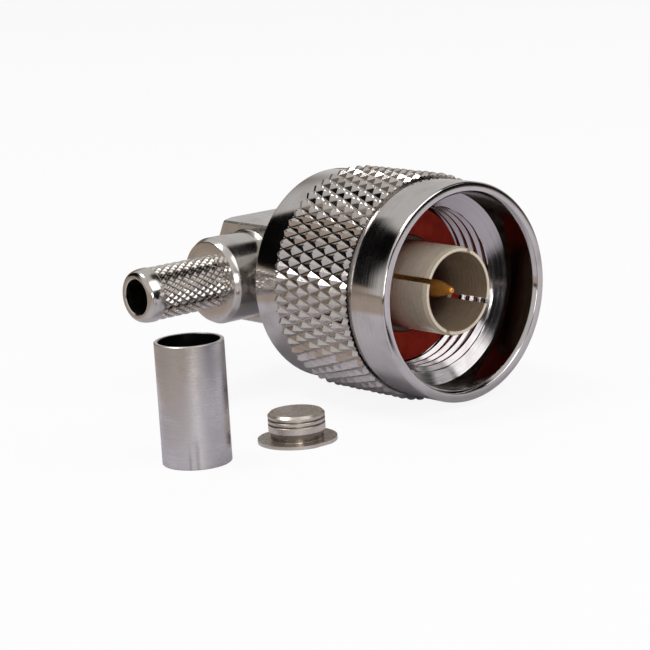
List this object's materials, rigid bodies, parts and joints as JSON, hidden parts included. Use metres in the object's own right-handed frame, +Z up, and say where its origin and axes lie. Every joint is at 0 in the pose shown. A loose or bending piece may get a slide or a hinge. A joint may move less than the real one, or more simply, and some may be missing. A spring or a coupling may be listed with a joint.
{
  "type": "right-angle n type coaxial connector",
  "caption": "Right-angle N type coaxial crimp plug: knurled coupling nut, slotted outer contact, centre pin and square body, with its loose crimp sleeve and end cap.",
  "frame": {"origin": "on the coupling nut's axis, in the plane of the nut's open mating end", "axes": "+Y along the nut's axis, away from the mating jack; -X along the cable stem, away from the body; +Z up from the surface that the connector lies on"},
  "size_m": [0.0411, 0.0296, 0.0212],
  "materials": {
    "nickel_plate": "bright nickel plate on brass",
    "contact_plate": "white bronze plate on brass",
    "satin_plate": "satin nickel plate on brass",
    "spring_steel": "dark spring steel",
    "red_silicone": "matt silicone",
    "white_ptfe": "waxy white",
    "gold_plate": "gold plate on brass"
  },
  "bodies": {
    "plug": {"connector_body": "nickel_plate", "retaining_ring": "spring_steel", "gasket": "red_silicone", "outer_contact": "contact_plate", "front_insulator": "white_ptfe", "rear_insulator": "white_ptfe", "centre_contact": "gold_plate", "crimp_stem": "nickel_plate", "end_cap": "satin_plate", "crimp_sleeve": "satin_plate"},
    "nut": {"coupling_nut": "nickel_plate"}
  },
  "joints": [
    {"name": "nut_turn", "type": "hinge", "parent": "plug", "child": "nut", "pos_m": [0, 0, 0], "axis": [0, 1, 0], "continuous": true}
  ]
}
